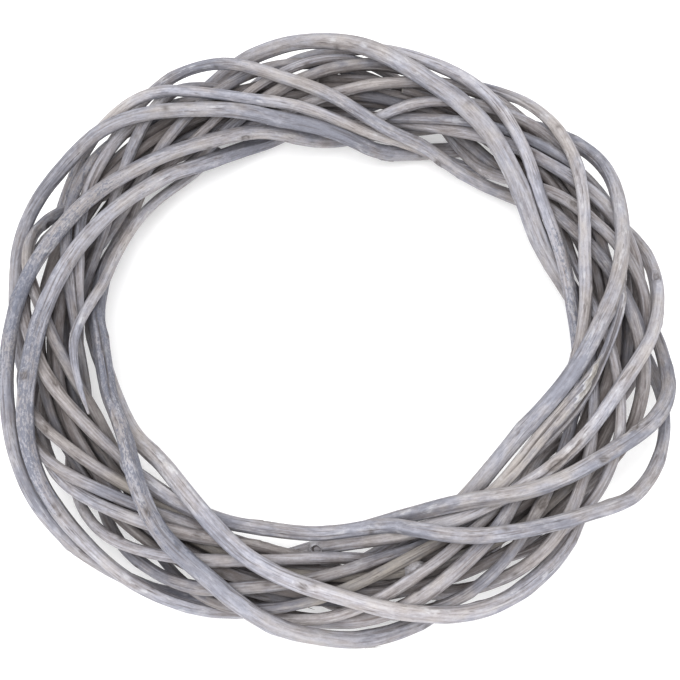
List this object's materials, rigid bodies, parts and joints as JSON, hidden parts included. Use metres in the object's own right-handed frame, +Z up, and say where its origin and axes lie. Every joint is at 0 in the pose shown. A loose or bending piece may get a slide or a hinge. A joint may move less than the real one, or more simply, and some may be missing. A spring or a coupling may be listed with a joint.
{
  "type": "wreath frame",
  "caption": "Round wreath frame of whitewashed grey willow rods, twisted round each other into a thick ring.",
  "frame": {"origin": "under the middle of the ring, on the surface that it lies on", "axes": "+Z up, square to the ring and out of its front; +X to the right and +Y to the top of the ring as it hangs with its front to the viewer"},
  "size_m": [0.2992, 0.3005, 0.0587],
  "materials": {
    "willow_core": "matte",
    "willow_binding": "matte",
    "willow_wrapping": "matte"
  },
  "bodies": {
    "root": {"core_rod_1": "willow_core", "core_rod_2": "willow_core", "core_rod_3": "willow_core", "core_rod_4": "willow_core", "core_rod_5": "willow_core", "core_rod_6": "willow_core", "binding_rod_1": "willow_binding", "binding_rod_2": "willow_binding", "binding_rod_3": "willow_binding", "binding_rod_4": "willow_binding", "binding_rod_5": "willow_binding", "binding_rod_6": "willow_binding", "binding_rod_7": "willow_binding", "binding_rod_8": "willow_binding", "wrapping_rod_1": "willow_wrapping", "wrapping_rod_2": "willow_wrapping", "wrapping_rod_3": "willow_wrapping", "wrapping_rod_4": "willow_wrapping", "wrapping_rod_5": "willow_wrapping", "wrapping_rod_6": "willow_wrapping", "wrapping_rod_7": "willow_wrapping", "wrapping_rod_8": "willow_wrapping", "wrapping_rod_9": "willow_wrapping", "wrapping_rod_10": "willow_wrapping", "wrapping_rod_11": "willow_wrapping"}
  },
  "joints": []
}
